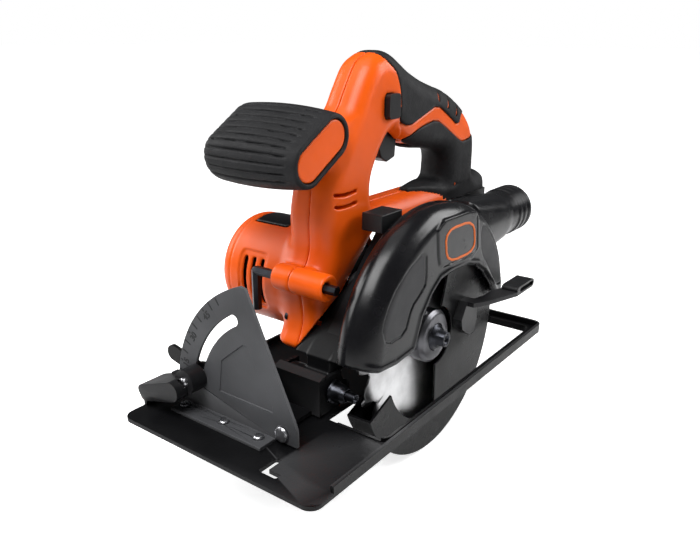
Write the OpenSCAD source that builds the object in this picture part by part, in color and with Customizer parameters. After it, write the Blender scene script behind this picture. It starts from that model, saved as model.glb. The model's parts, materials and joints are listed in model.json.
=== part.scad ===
// Cordless circular saw, 140 mm blade on the right-hand side of the motor.
// +X is the cutting direction, +Y points from the motor to the blade side, +Z is up.
// The origin is the centre of the shoe's underside.

/* [Shoe] */
// Length of the shoe along the cut
shoe_l = 274; // [250:1:300]
// Width of the shoe
shoe_w = 144; // [138:1:160]
// Sheet thickness of the shoe
shoe_t = 2.5; // [2:0.1:3]
// Height of the turned-up rims above the shoe's underside
rim_h = 6.5; // [5:0.5:7]

/* [Blade] */
// Blade radius
blade_r = 70; // [66:0.5:71]
// Thickness of the blade's steel body
blade_t = 1.2; // [0.8:0.1:1.6]
// Number of teeth
teeth = 18; // [12:2:24]
// Arbor height above the shoe's underside
arbor_z = 31; // [30:0.5:32]
// Arbor position behind the shoe's centre
arbor_back = 15; // [10:1:20]
// Blade plane, measured from the shoe's centre line
blade_y = 38; // [36:0.5:40]

/* [Guards] */
// Outer radius of the fixed upper guard
upper_r = 86; // [85:0.5:87]
// Outer radius of the swinging lower guard
lower_r = 77.5; // [77:0.5:78.5]

/* [Motor] */
// Outer radius of the motor housing barrel
barrel_r = 35; // [34.5:0.5:36]
// Radius of the steel motor can
can_r = 31; // [30:0.5:31.5]

/* [Gears] */
// Gear module shared by both stages
gear_m = 1; // [1:1:1]
// Teeth on the motor pinion and on the layshaft pinion
pinion_n = 12; // [12:1:12]
// Teeth on the layshaft gear
lay_n = 24; // [24:1:24]
// Teeth on the blade gear
final_n = 42; // [42:1:42]

/* [Adjustment] */
// Radius of the bevel scale plate
quadrant_r = 83; // [80:1:84]
// Radius of the bevel slot's centre line
bevel_slot_r = 66.5; // [64:0.5:68]
// Width of the bevel and depth slots
slot_w = 6.6; // [6.4:0.1:7]

/* [Hidden] */
$fn = 64;
hair = 0.01;     // step that keeps two tangent outlines crossing cleanly
fit = 0.05;      // radial clearance of a running fit
wall = 2.5;      // housing shell thickness

// Places below are in saw coordinates: x and y from the blade centre, z from the shoe's underside.
seam_y = -45;                      // parting plane of the two housing halves
shoe_x = [arbor_back - shoe_l / 2, arbor_back + shoe_l / 2];
shoe_y = [-blade_y - shoe_w / 2, -blade_y + shoe_w / 2];
window_x = [-110, 83];             // blade window in the shoe
window_y = [-13, 28.2];
bevel_y = -14.5;                   // bevel axis, parallel to X
bevel_z = 9.3;
depth_x = 74;                      // depth axis, parallel to Y
depth_z = 16;
quadrant_x = 117;                  // rear face of the bevel scale plate
lock_a = 13;                       // elevation of the bevel lock bolt at 0 degrees of bevel
lay_x = 17.6;                      // layshaft axis
lay_z = arbor_z + 20.5;
motor_x = 29.4;                    // motor axis
motor_z = arbor_z + 34;
barrel_y = -117;                   // free end of the motor barrel
gear_back = -21;                   // rear face of the blade gear
gear_front = -13;                  // front face of the blade gear
lay_gear_y = [-28, -23];           // layshaft gear and motor pinion span
clamp_x = -39;                     // depth lock bolt
clamp_z = 36;
arc_y = [-31, -29];                // depth arc plate, between the gear case and the motor
spout_y = -12;                     // dust spout axis, parallel to X
spout_z = 83.5;
spout_x = -150;
spout_r = 16.2;
spout_bore = 14;
block_z = [98, 112];               // housing block below the rear of the handle
handle_y = [-61, -29];             // width of the main handle
hex_x = 73;                        // stored hex key
hex_z = 78;
hex_y = [-74.5, -12.5];
hex_af = 5;
screw_r = 1.9;

// ---- Placing helpers ---------------------------------------------------------------------

// Saw coordinates: the blade's centre plane crosses the shoe's underside at the origin.
module saw() {
    translate([-arbor_back, blade_y, 0]) children();
}

// Cylinder along Y between two y values.
module ycyl(x, z, y, r, r2 = undef, fn = $fn) {
    translate([x, y[0], z]) rotate([-90, 0, 0])
        cylinder(h = y[1] - y[0], r1 = r, r2 = is_undef(r2) ? r : r2, $fn = fn);
}

// Cylinder along X between two x values.
module xcyl(y, z, x, r, r2 = undef, fn = $fn) {
    translate([x[0], y, z]) rotate([0, 90, 0])
        cylinder(h = x[1] - x[0], r1 = r, r2 = is_undef(r2) ? r : r2, $fn = fn);
}

// Box between two corners.
module block(x, y, z) {
    translate([x[0], y[0], z[0]]) cube([x[1] - x[0], y[1] - y[0], z[1] - z[0]]);
}

// Side profile drawn in x and z, extruded between two y values.
module side(y) {
    translate([0, y[1], 0]) rotate([90, 0, 0]) linear_extrude(y[1] - y[0]) children();
}

// End profile drawn in y and z, extruded between two x values.
module face(x) {
    translate([x[0], 0, 0]) rotate([90, 0, 90]) linear_extrude(x[1] - x[0]) children();
}

// Rectangle with round corners, exact arcs.
module round_rect(a, b, r) {
    translate([a[0] + r, a[1]]) square([b[0] - a[0] - 2 * r, b[1] - a[1]]);
    translate([a[0], a[1] + r]) square([b[0] - a[0], b[1] - a[1] - 2 * r]);
    for (x = [a[0] + r, b[0] - r], y = [a[1] + r, b[1] - r]) translate([x, y]) circle(r);
}

// Straight bar with round ends between two points of a profile. Its flats are a hair inside its ends.
module bar(p, q, r) {
    d = q - p;
    w = r - hair;
    translate(p) circle(r);
    translate(q) circle(r);
    translate(p) rotate(atan2(d[1], d[0])) translate([0, -w]) square([norm(d), 2 * w]);
}

// Ring sector between two angles, less than 180 degrees apart.
module sector(r1, r2, a1, a2) {
    far = r2 * 2;
    intersection() {
        difference() {
            circle(r2, $fn = 128);
            circle(r1, $fn = 128);
        }
        polygon([[0, 0], far * [cos(a1), sin(a1)],
            far * [cos((a1 + a2) / 2), sin((a1 + a2) / 2)] * 1.5, far * [cos(a2), sin(a2)]]);
    }
}

// Arc-shaped slot with round ends.
module arc_slot(r, w, a1, a2) {
    sector(r - w / 2 + hair, r + w / 2 - hair, a1, a2);
    for (a = [a1, a2]) translate(r * [cos(a), sin(a)]) circle(w / 2);
}

// Hexagon with a given width across its flats.
module hexagon(af) {
    circle(af / sqrt(3), $fn = 6);
}

// Spur gear outline of trapezoid teeth with running clearance.
module gear_outline(n, phase = 0) {
    rp = n * gear_m / 2;
    ra = rp + 0.85 * gear_m;
    rf = rp - 1.2 * gear_m;
    pitch = 360 / n;
    polygon([for (i = [0:n - 1], k = [[-0.34, rf], [-0.12, ra], [0.12, ra], [0.34, rf]])
        k[1] * [cos((i + k[0]) * pitch + phase), sin((i + k[0]) * pitch + phase)]]);
}

// ---- Shoe --------------------------------------------------------------------------------

// Pressed sheet shoe: plate, turned-up rims on three sides, window and cut-line notch.
module shoe_plate() {
    corner = 7;
    notch_x = [130, 144];
    notch_y = [-8.9, 3.2];
    bar_w = 4;
    tongue_r = 3;
    color("#1c1c1e") saw() difference() {
        union() {
            linear_extrude(rim_h) difference() {
                round_rect([shoe_x[0], shoe_y[0]], [shoe_x[1], shoe_y[1]], corner);
                translate([shoe_x[0] + 2.2, shoe_y[0] + 2.2])
                    square([shoe_l, shoe_w - 4.4]);
            }
            linear_extrude(shoe_t) round_rect([shoe_x[0], shoe_y[0]], [shoe_x[1], shoe_y[1]], corner);
            // rim round the window
            linear_extrude(rim_h - 1.5) difference() {
                round_rect([window_x[0] - 2, window_y[0] - 2], [window_x[1] + 2, window_y[1] + 1.6], 6);
                translate([window_x[0] - 3, window_y[0] - 3])
                    square([window_x[1] - window_x[0] + 6, 12]);
            }
        }
        translate([0, 0, -1]) linear_extrude(20)
            round_rect([window_x[0], window_y[0]], [window_x[1], window_y[1]], 4);
        block([window_x[1] - 1, window_x[1] + 4], [window_y[0] - 3, window_y[1] - 2], [shoe_t + 0.8, 20]);
        // front 16 mm has no rims
        block([shoe_x[1] - 16, shoe_x[1] + 1], [shoe_y[0] - 1, shoe_y[1] + 1], [shoe_t, 20]);
        translate([0, 0, -1]) linear_extrude(20) difference() {
            round_rect([notch_x[0], notch_y[0]], [notch_x[1], notch_y[1]], 1.5);
            translate([notch_x[0] - 1, notch_y[0] + bar_w])
                square([notch_x[1] - notch_x[0] - bar_w + 1, notch_y[1] - notch_y[0] - bar_w + 1]);
        }
        for (y = [-88, -55, -28]) translate([123.5, y, -1]) cylinder(h = 10, r = screw_r, $fn = 32);
        for (y = [-34, -24]) translate([-111.5, y, -1]) cylinder(h = 10, r = screw_r, $fn = 32);
    }
}

// Bevel scale plate with its foot, arc slot and pressed-in triangle.
module bevel_quadrant() {
    foot_z = [shoe_t, shoe_t + 2];
    right_top = [-38, 87];
    right_foot = [-6.6, 20.6];
    color("#3a3a3c") saw() difference() {
        union() {
            face([quadrant_x, quadrant_x + 2]) difference() {
                intersection() {
                    translate([bevel_y, bevel_z]) circle(quadrant_r, $fn = 160);
                    polygon([[-100, 8], [-100, 100], right_top, right_foot, [-4, 14], [-4, 4.2],
                        [-92, 4.2]]);
                }
                translate([bevel_y, bevel_z]) arc_slot(bevel_slot_r, slot_w, 180 - 60, 180 - lock_a + 2);
            }
            block([quadrant_x, quadrant_x + 14], [-92, -20], foot_z);
        }
        // pressed-in triangle
        face([quadrant_x + 1.4, quadrant_x + 3])
            polygon([[-62, 20], [-21, 20], [-21, 24], [-38, 54], [-42, 54], [-59, 40]]);
        xcyl(bevel_y, bevel_z, [110, 125], 3);
        for (y = [-88, -55, -28]) translate([123.5, y, -1]) cylinder(h = 10, r = screw_r, $fn = 32);
    }
}

// Upright lug that carries the rear bevel pin.
module rear_pivot_lug() {
    color("#1c1c1e") saw() difference() {
        union() {
            face([-106, -104]) {
                translate([bevel_y, bevel_z]) circle(6.2);
                polygon([[-40, shoe_t], [-18, shoe_t], [-10, 7], [-10, 12], [-22, 15.5], [-40, 8]]);
            }
            block([-117, -104], [-40, -18], [shoe_t, shoe_t + 2]);
        }
        xcyl(bevel_y, bevel_z, [-110, -100], 3);
        for (y = [-34, -24]) translate([-111.5, y, -1]) cylinder(h = 10, r = screw_r, $fn = 32);
    }
}

// Rivets holding the quadrant and the rear lug to the shoe.
module shoe_rivets() {
    top = shoe_t + 2;
    color("#55565a") saw() for (p = [[123.5, -88], [123.5, -55], [123.5, -28],
            [-111.5, -34], [-111.5, -24]])
        translate([p[0], p[1], 0.2]) {
            cylinder(h = top - 0.2, r = screw_r, $fn = 32);
            translate([0, 0, top - 0.2]) cylinder(h = 1.5, r1 = 3.4, r2 = 2.2, $fn = 32);
        }
}

// Bevel hinge pins, pressed into the quadrant and the rear lug.
module bevel_pins() {
    color("#8a8b8f") saw() {
        xcyl(bevel_y, bevel_z, [110.5, 119], 3);
        xcyl(bevel_y, bevel_z, [119, 120.8], 5, 4);
        xcyl(bevel_y, bevel_z, [-106, -94.5], 3);
        xcyl(bevel_y, bevel_z, [-107.6, -106], 4, 5);
    }
}

// ---- Bevel frame -------------------------------------------------------------------------

// Bent sheet bracket: U for the depth pivot, strap to the bevel pin and pointer arm.
module front_bracket() {
    arm_x = [113.2, 115.6];
    lock = [bevel_y - bevel_slot_r * cos(lock_a), bevel_z + bevel_slot_r * sin(lock_a)];
    tip = [bevel_y - 93 * cos(lock_a), bevel_z + 93 * sin(lock_a)];
    color("#3a3a3c") saw() difference() {
        union() {
            block([84, 86.5], [-50, -15], [4, 26.5]);
            side([-50, -15]) polygon([[86.5, 24.5], [86.5, 26.5], [80.6, 28.6], [80.2, 26.8]]);
            for (y = [[-50, -47.5], [-17.5, -15]]) {
                side(y) {
                    translate([66, 4]) square([18.5, 22]);
                    translate([depth_x, depth_z]) circle(10.5);
                    translate([66, 12]) circle(8);
                }
            }
            block([84, arm_x[1]], [-50, -21], [4, 6.4]);
            face(arm_x) {
                translate([bevel_y, bevel_z]) circle(6.4);
                polygon([[-50, 4], [-21, 4], [-12, 8], [-13, 14.5], [-30, 19], [-50, 24]]);
                bar([-36, 14], lock, 7);
                bar(lock, tip, 5);
            }
        }
        xcyl(bevel_y, bevel_z, [108, 119], 3 + fit);
        ycyl(depth_x, depth_z, [-60, -5], 3);
        translate([0, lock[0], lock[1]]) rotate([0, 90, 0])
            translate([0, 0, 108]) cylinder(h = 12, r = 3);
    }
}

// Rear bracket with the depth arc slot, centred on the depth pivot.
module rear_bracket() {
    r = norm([clamp_x - depth_x, clamp_z - depth_z]);
    a0 = 180 - atan2(clamp_z - depth_z, depth_x - clamp_x);
    swing = 25;
    color("#2a2a2c") saw() difference() {
        union() {
            side(arc_y) {
                translate([depth_x, depth_z]) difference() {
                    sector(r - 9, r + 9, a0 - swing - 3, a0 + 8);
                    arc_slot(r, slot_w, a0 - swing, a0);
                }
                bar([-96, 9.3], [-46, 12], 5);
                polygon([[-60, 5.6], [-34, 6.5], [-28, 22], [-50, 30]]);
            }
            face([-103, -100.6]) {
                translate([bevel_y, bevel_z]) circle(6.2);
                polygon([[-31, 4.3], [-18, 4.3], [-11, 7.5], [-12, 15], [-31, 14.5]]);
            }
            block([-103, -95], arc_y, [4.3, 14.5]);
        }
        xcyl(bevel_y, bevel_z, [-110, -96], 3 + fit);
    }
}

// Bolt that the saw body tips on, with a hex head on the motor side.
module depth_pivot_bolt() {
    color("#26262a") saw() difference() {
        union() {
            ycyl(depth_x, depth_z, [-50, 1.5], 3);
            translate([depth_x, -54, depth_z]) rotate([-90, 0, 0]) linear_extrude(4) hexagon(10);
        }
        ycyl(depth_x, depth_z, [0.5, 2], 1.4);
    }
}

// Flanged lock nut and washer on the pivot bolt.
module depth_pivot_nut() {
    color("#202024") saw() difference() {
        union() {
            ycyl(depth_x, depth_z, [-15, -13.4], 7);
            translate([depth_x, -13.4, depth_z]) rotate([-90, 0, 0]) linear_extrude(6.4) hexagon(10);
            ycyl(depth_x, depth_z, [-7, -4.5], 4.3);
        }
        ycyl(depth_x, depth_z, [-20, 5], 3);
    }
}

// Clamp bolt that passes through the arm and the bevel slot.
module bevel_lock_bolt() {
    y = bevel_y - bevel_slot_r * cos(lock_a);
    z = bevel_z + bevel_slot_r * sin(lock_a);
    color("#8a8b8f") saw() {
        xcyl(y, z, [111.2, 113.2], 6);
        xcyl(y, z, [113.2, 131], 3);
    }
}

// Moulded lever that clamps the bevel setting.
module bevel_lever() {
    y = bevel_y - bevel_slot_r * cos(lock_a);
    z = bevel_z + bevel_slot_r * sin(lock_a);
    color("#161618") saw() difference() {
        union() {
            xcyl(y, z, [119.4, 130], 7.5);
            hull() {
                xcyl(y - 3, z - 4, [120.5, 138], 6, fn = 32);
                xcyl(y - 26, z - 9, [122, 140], 3.6, fn = 32);
                xcyl(y - 26, z - 13, [122, 139], 3.2, fn = 32);
            }
            block([119.4, 124], [y - 18, y], [z - 8, z - 1]);
        }
        xcyl(y, z, [110, 133], 3 + fit);
    }
}

// Carriage bolt fixed in the gear case lug, through the depth slot.
module depth_lock_bolt() {
    color("#8a8b8f") saw() {
        ycyl(clamp_x, clamp_z, [-22, -20], 6);
        ycyl(clamp_x, clamp_z, [-41, -22], 3);
    }
}

// Lever that clamps the cutting depth.
module depth_lever() {
    color("#161618") saw() difference() {
        union() {
            ycyl(clamp_x, clamp_z, [-40, -31.4], 8);
            side([-40, -34]) bar([clamp_x, clamp_z], [clamp_x - 30, clamp_z - 12], 4.5);
            ycyl(clamp_x - 30, clamp_z - 12, [-44, -34], 5.5);
        }
        ycyl(clamp_x, clamp_z, [-50, -20], 3 + fit);
    }
}

// ---- Housing -----------------------------------------------------------------------------

// Pillar, top of the handle, rear post and block, seen from the side.
module body_outline(grow = 0) {
    g = grow;
    // pillar from the front handle down to the foot
    polygon([[-2, 203 + g], [11 + g, 199 + g], [22 + g, 189], [33 + g, 171], [54 + g, 134], [57 + g, 100],
        [61 + g, 87], [73 + g, 84], [73 + g, 66], [66 + g, 58], [68 + g, 42], [70 + g, 33 - g],
        [60 - g, 33 - g], [56 - g, 45], [52 - g, 60], [8 - g, 98], [13 - g, 110], [13 - g, 128],
        [3 - g, 146], [-10 - g, 162], [-14 - g, 190]]);
}

// Grip bar and rear post of the D-handle.
module handle_outline(g = 0) {
    polygon([[2, 203 + g], [-3, 203 + g], [-31, 196 + g], [-60, 184 + g], [-92, 171 + g],
        [-112, 158 + g], [-121 - g, 146 + g], [-123 - g, 136], [-123 - g, 108], [-79 + g, 108],
        [-79 + g, 134], [-70 + g, 142 - g], [-40, 147 - g], [-22, 152 - g], [-12, 160 - g], [2, 160 - g]]);
}

// Housing block between the gear side and the battery rails.
module block_outline(g = 0) {
    round_rect([-148 - g, block_z[0] - g], [20 + g, block_z[1] + g], 4);
}

// Outer form of the complete housing.
module housing_form() {
    side([-64, -30]) body_outline();
    side([-58, -32]) handle_outline(-3.2);
    side([-64, -31.6]) block_outline();
    ycyl(motor_x, motor_z, [barrel_y + 3, -31.6], barrel_r, fn = 96);
    ycyl(motor_x, motor_z, [barrel_y, barrel_y + 3], barrel_r - 3, barrel_r, fn = 96);
    // hex key boss across the front
    ycyl(hex_x - 3, hex_z - 1, [-59, -20], 8);
    // neck that carries the front handle
    side([-58, -34]) polygon([[28, 166], [57, 166], [78, 153], [78, 144], [60, 146], [44, 140]]);
}

// Space inside the housing shells.
module housing_space() {
    side([-64 + wall, -30 - wall]) body_outline(-wall);
    side([-58 + wall, -32 - wall]) handle_outline(-3.2 - wall);
    side([-64 + wall, -31.6 - wall]) block_outline(-wall);
    ycyl(motor_x, motor_z, [barrel_y + 3 + wall, -20], barrel_r - wall, fn = 96);
}

// Slots and holes that pierce the housing.
module housing_holes() {
    // cooling slots at the front of the barrel
    for (y = [-95, -88, -81])
        block([motor_x + 10, motor_x + 40], [y - 1.5, y + 1.5], [motor_z - 14, motor_z + 15]);
    // curved exhaust slots on the right of the pillar
    for (z = [121, 127]) block([34, 52], [-34, -28], [z, z + 2]);
    // trigger and lock-off openings in the rear of the pillar
    block([-28.4, 10], [-50, -40], [131, 162]);
    side([-66, -28]) round_rect([-9.4, 163.6], [3.4, 179.4], 3);
    // hex key bore and the saddle for the label
    ycyl(hex_x, hex_z, [-120, -20], hex_af / sqrt(3) + 0.3, fn = 24);
    block([-150, -60], [-58, -37], [block_z[0] - 1, block_z[0] + wall + 0.5]);
    // open towards the gear case
    ycyl(motor_x, motor_z, [-36, -20], barrel_r - wall, fn = 96);
    // motor end cap seat
    ycyl(motor_x, motor_z, [-121, -109], 26);
    for (p = screw_posts()) {
        ycyl(p[0], p[1], [-70, -20], 1.5, fn = 24);
        ycyl(p[0], p[1], [-70, -57], 3, fn = 24);
    }
    // below the diagonal the gear case takes the place of the right half
    side([-36, -20]) polygon([[-30, 97.5], [12, 97.5], [79, 28], [79, 0], [-30, 0]]);
    // the leg leans away from the pivot arm
    face([57, 90]) polygon([[-30, 70], [-20, 70], [-20, 20], [-51.8, 20]]);
}

// Screw positions that join the two halves.
function screw_posts() = [[63, 49], [-2, 105], [-137, 105], [38, 148], [2, 189], [-112, 126]];

// Screw posts inside the shells.
module screw_pillars() {
    for (p = screw_posts()) ycyl(p[0], p[1], [-63.5, -31.8], 4.4, fn = 32);
}

module housing_shell() {
    difference() {
        union() {
            difference() {
                housing_form();
                housing_space();
            }
            intersection() {
                screw_pillars();
                housing_form();
            }
        }
        housing_holes();
    }
}

// Motor-side half of the clamshell.
module housing_left() {
    color("#f05a10") saw() intersection() {
        housing_shell();
        block([-200, 200], [-130, seam_y], [0, 260]);
    }
}

// Blade-side half of the clamshell.
module housing_right() {
    color("#f05a10") saw() intersection() {
        housing_shell();
        block([-200, 200], [seam_y, 0], [0, 260]);
    }
}

// Soft overmould round the grip bar and the rear post, with its skirt.
module handle_grip() {
    color("#1e1e20") saw() {
        difference() {
            side(handle_y) difference() {
                handle_outline();
                translate([-14, 150]) square([60, 60]);
            }
            side([-58, -32]) handle_outline(-3.2);
            block([-160, 0], [-70, -20], [100, block_z[1] + 3]);
            block([-28.4, 10], [-50, -40], [131, 162]);
            ycyl(screw_posts()[5][0], screw_posts()[5][1], [-70, -56.9], 3, fn = 24);
        }
        difference() {
            block([-138, -62], [-63, -27], [block_z[1], block_z[1] + 3]);
            side([-58, -32]) handle_outline(-3.2);
        }
    }
}

// Stadium section of the front handle, leaning back at the top.
module front_oval(r) {
    bar([79, 147], [57, 160], r);
}

// Room round the neck that carries the front handle.
module neck_room() {
    polygon([[27, 166.5], [57.2, 166.5], [78.6, 153.3], [78.6, 143.4], [59.8, 145.5], [43, 139.2]]);
}

// Rigid core of the front handle.
module front_handle_core() {
    color("#d9540f") saw() difference() {
        side([-90, -34]) front_oval(9.5);
        side([-87, -37]) front_oval(7);
        side([-58.5, -33]) neck_room();
        side([-64.5, -29.5]) body_outline(0.3);
    }
}

// Ribbed soft grip on the front handle.
module front_grip() {
    color("#1e1e20") saw() difference() {
        hull() {
            for (e = [[-97, 5], [-92, 11.5], [-74, 15.4], [-48, 14.8], [-28, 12.6]])
                side([e[0], e[0] + 2]) front_oval(e[1]);
        }
        side([-90.1, -20]) front_oval(9.6);
        side([-58.5, -33]) neck_room();
        side([-64.5, -29.5]) body_outline(0.3);
    }
}

// Orange end cap of the front handle.
module front_grip_cap() {
    color("#f05a10") saw() difference() {
        side([-34, -26.6]) front_oval(9.2);
        side([-64.5, -29.5]) body_outline(0.3);
    }
}

// Screws joining the housing halves, driven from the motor side.
module housing_screws() {
    color("#55565a") saw() for (p = screw_posts()) {
        ycyl(p[0], p[1], [-57, -40], 1.45, fn = 24);
        ycyl(p[0], p[1], [-59, -57], 2.8, fn = 24);
    }
}

// Rating label let into the top of the barrel.
module label_plate() {
    color("#101012") saw() intersection() {
        difference() {
            ycyl(motor_x, motor_z, [-104, -76], barrel_r + 0.8, fn = 96);
            ycyl(motor_x, motor_z, [-105, -75], barrel_r + 0.1, fn = 96);
        }
        block([motor_x - 12, motor_x + 12], [-104, -76], [motor_z, motor_z + 50]);
    }
}

// ---- Guards and gear case ----------------------------------------------------------------

// Section of the upper guard in radius and y, with both edges round, swept about the arbor.
module guard_ring(r, y, round) {
    translate([0, 0, arbor_z]) rotate([-90, 0, 0]) rotate_extrude($fn = 128) {
        translate([0, y[0]]) square([r - round, y[1] - y[0]]);
        translate([0, y[0] + round]) square([r, y[1] - y[0] - 2 * round]);
        for (v = [y[0] + round, y[1] - round]) translate([r - round, v]) circle(round, $fn = 48);
    }
}

// Fixed upper guard: dome with an arch over the hub.
module upper_guard() {
    color("#1b1b1d") saw() difference() {
        union() {
            intersection() {
                difference() {
                    guard_ring(upper_r, [-10, 16.4], 7);
                    guard_ring(upper_r - 3, [-8, 14.4], 5);
                }
                union() {
                    block([-100, 100], [-20, 20], [48, 130]);
                    side([-20, 20]) polygon([[36, 34.5], [62, 35.5], [90, 40.5], [90, 60], [36, 60]]);
                    block([-90, 30], [-20, 20], [arbor_z, 60]);
                }
            }
            // raised panel
            side([15, 18]) polygon([[16, 110], [-31, 108], [-38, 82], [6, 82]]);
        }
        // arch that shows the blade and flange
        side([10, 20]) translate([-16, 27]) circle(50, $fn = 96);
        side([10, 20]) polygon([[0, 30], [34, 30], [28, 58], [10, 78], [0, 76]]);
        // opening over the gear case nose
        ycyl(0, arbor_z, [-12, -4], 25);
        block([-25, 25], [-12, -4], [20, arbor_z]);
        // mouth of the dust spout
        xcyl(spout_y, spout_z, [-90, -50], 13);
        // shallow panels on the outer face
        side([15.6, 18]) polygon([[78, 52], [58, 90], [38, 108], [30, 108], [34, 84], [44, 44], [60, 40]]);
        side([15.6, 18]) polygon([[-52, 92], [-66, 74], [-78, 48], [-66, 46], [-52, 70]]);
        for (p = guard_screw_places()) ycyl(p[0], p[1], [-12, 0], 1.6, fn = 24);
    }
}

// Plain badge plate on the raised panel.
module guard_badge() {
    color("#f05a10") saw() side([18, 18.5]) difference() {
        round_rect([-28, 86], [5, 106], 3);
        round_rect([-26.8, 87.2], [3.8, 104.8], 2.2);
    }
}

// Screw places of the upper guard on the gear case.
function guard_screw_places() = [[46, 54], [-14, 68], [4, 86]];

// Screws holding the upper guard.
module guard_screws() {
    color("#55565a") saw() for (p = guard_screw_places()) {
        ycyl(p[0], p[1], [-19, -8], 1.5, fn = 24);
        ycyl(p[0], p[1], [-8, -6.8], 3, fn = 24);
    }
}

// Outer form of the gear case, cut off along the diagonal below the housing.
module gear_case_outline(g = 0) {
    translate([0, arbor_z]) circle(25 + g);
    translate([lay_x, lay_z]) circle(25 + g);
    polygon([[-22, 60], [-20 - g, 97.2], [12 + g, 97.2], [62 + g, 45.4], [40, 36], [20, 30]]);
}

// Die-cast gear case behind the upper guard, with the lug for the depth lock.
module gear_case() {
    nose_r = 19;
    color("#6d6e72") saw() difference() {
        union() {
            side([-28.6, -10.2]) gear_case_outline();
            side([-28.6, -22]) bar([0, 38], [clamp_x, clamp_z], 7);
            ycyl(0, arbor_z, [-10.3, -4.8], nose_r);
        }
        // gear chambers
        side([-30, -12.2]) {
            translate([0, arbor_z]) circle(22.6);
            translate([lay_x, lay_z]) circle(13.8);
            translate([motor_x, motor_z]) circle(9);
        }
        ycyl(0, arbor_z, [-20, 0], 11);
        ycyl(lay_x, lay_z, [-20, -11], 4);
        ycyl(clamp_x, clamp_z, [-30, -15], 3);
        for (p = guard_screw_places()) ycyl(p[0], p[1], [-22, -5], 1.5, fn = 24);
        // window for the spindle lock pin
        block([16.5, 19.5], [-19, -15], [60, 100]);
    }
}

// Plate closing the gear case on the motor side.
module gear_cover() {
    color("#85868a") saw() difference() {
        side([-31, -28.6]) {
            translate([0, arbor_z]) circle(23);
            translate([lay_x, lay_z]) circle(23);
            translate([motor_x, motor_z]) circle(9.5);
        }
        ycyl(0, arbor_z, [-30.2, -20], 5.5);
        ycyl(lay_x, lay_z, [-30.2, -20], 4);
        ycyl(motor_x, motor_z, [-40, -20], 8 + fit);
    }
}

// Black arm from the gear case down to the depth pivot.
module pivot_arm() {
    color("#1b1b1d") saw() difference() {
        union() {
            ycyl(depth_x, depth_z, [-46.9, -18.1], 9.6);
            side([-35.4, -18.1]) polygon([[73, 33.8], [73, 25], [65, 16], [60, 26], [44, 36], [46, 61.8]]);
            side([-18.2, -11.2]) polygon([[73, 33.8], [68, 33], [60, 36], [44, 46], [46, 61.8]]);
            // front plate, widening to the left at the foot
            difference() {
                side([-46.9, -35.3]) polygon([[73, 33.8], [68, 34], [60, 43.5], [57, 50.4]]);
                face([50, 90]) polygon([[-60, 70], [-29.6, 70], [-51.4, 20], [-60, 20]]);
            }
        }
        ycyl(motor_x, motor_z, [-60, -31.1], barrel_r + 0.4, fn = 96);
        side([-31.7, -10]) gear_case_outline(0.05);
        ycyl(depth_x, depth_z, [-60, 0], 3 + fit);
    }
}

// Ribbed dust spout at the rear of the upper guard.
module dust_spout() {
    color("#1b1b1d") saw() difference() {
        union() {
            xcyl(spout_y, spout_z, [spout_x, -74], spout_r);
            for (x = [spout_x, spout_x + 9, spout_x + 18])
                xcyl(spout_y, spout_z, [x, x + 5], spout_r + 1.4);
            xcyl(spout_y, spout_z, [-80, -66], spout_r, spout_r - 4);
        }
        xcyl(spout_y, spout_z, [spout_x - 1, -90], spout_bore);
        xcyl(spout_y, spout_z, [-90.1, -60], spout_bore - 4);
        ycyl(0, arbor_z, [-40, 40], upper_r + 0.05, fn = 128);
    }
}

// Swinging lower guard: channel round the blade's rear and lower side, open in front of the hub.
module lower_guard() {
    a1 = -253;
    a2 = -22;
    open_a = -92;
    open_r = 54;
    color("#161617") saw() {
        side([-6.6, -5]) translate([0, arbor_z]) guard_sector(23.5, lower_r, a1, a2);
        side([8.9, 10.4]) translate([0, arbor_z]) {
            guard_sector(20, lower_r, a1, open_a);
            sector(open_r, lower_r, open_a - 1, a2);
        }
        side([-6.6, 10.4]) translate([0, arbor_z]) guard_sector(lower_r - 1.6, lower_r, a1, a2);
        difference() {
            ycyl(0, arbor_z, [-8.6, -5], 24);
            ycyl(0, arbor_z, [-12, 0], 19 + fit);
        }
    }
}

// Ring sector wider than a right angle, built from two halves.
module guard_sector(r1, r2, a1, a2) {
    mid = (a1 + a2) / 2;
    sector(r1, r2, a1, mid + 0.5);
    sector(r1, r2, mid - 0.5, a2);
}

// Thumb lever of the lower guard: root in the arch, shelf over the guard's face and hollow tab.
module lower_guard_lever() {
    shelf_z = [44.2, 47];
    tab_z = 47.2;
    color("#1c1c1e") saw() {
        side([10.4, 16.6]) polygon([[-22, 36], [-29, 47], [-38, 47], [-43, 42], [-44, 31], [-41, 22],
            [-34, 22], [-24, 29]]);
        translate([0, 0, shelf_z[0]]) linear_extrude(shelf_z[1] - shelf_z[0])
            polygon([[-29, 16.5], [-38, 16.5], [-46, 18.8], [-60, 18.8], [-70, 23], [-70, 35], [-66, 35],
                [-40, 27], [-29, 21]]);
        side([23, 35]) difference() {
            bar([-69, tab_z], [-91, tab_z], 3);
            bar([-72, tab_z], [-91, tab_z], 1.5);
        }
    }
}

// Rubber bumper that stops the lower guard.
module guard_bumper() {
    color("#303033") saw() ycyl(46.5, 67.5, [-8, -4.8], 3.2, fn = 32);
}

// ---- Motor -------------------------------------------------------------------------------

// Steel tube of the motor.
module motor_can() {
    color("#7d7e82") saw() difference() {
        ycyl(motor_x, motor_z, [-103, -40], can_r, fn = 96);
        ycyl(motor_x, motor_z, [-104, -39], can_r - 2, fn = 96);
    }
}

// Two arc magnets glued inside the can.
module motor_magnets() {
    color("#3c3c40") saw() for (a = [0, 180]) side([-99, -48]) translate([motor_x, motor_z])
        sector(can_r - 8, can_r - 2.05, a - 55, a + 55);
}

// Plate at the rear of the motor that carries the brushes.
module brush_plate() {
    color("#c9b79a") saw() difference() {
        ycyl(motor_x, motor_z, [-110.5, -107.5], 28);
        ycyl(motor_x, motor_z, [-119, -99], 12.5);
    }
}

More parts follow.
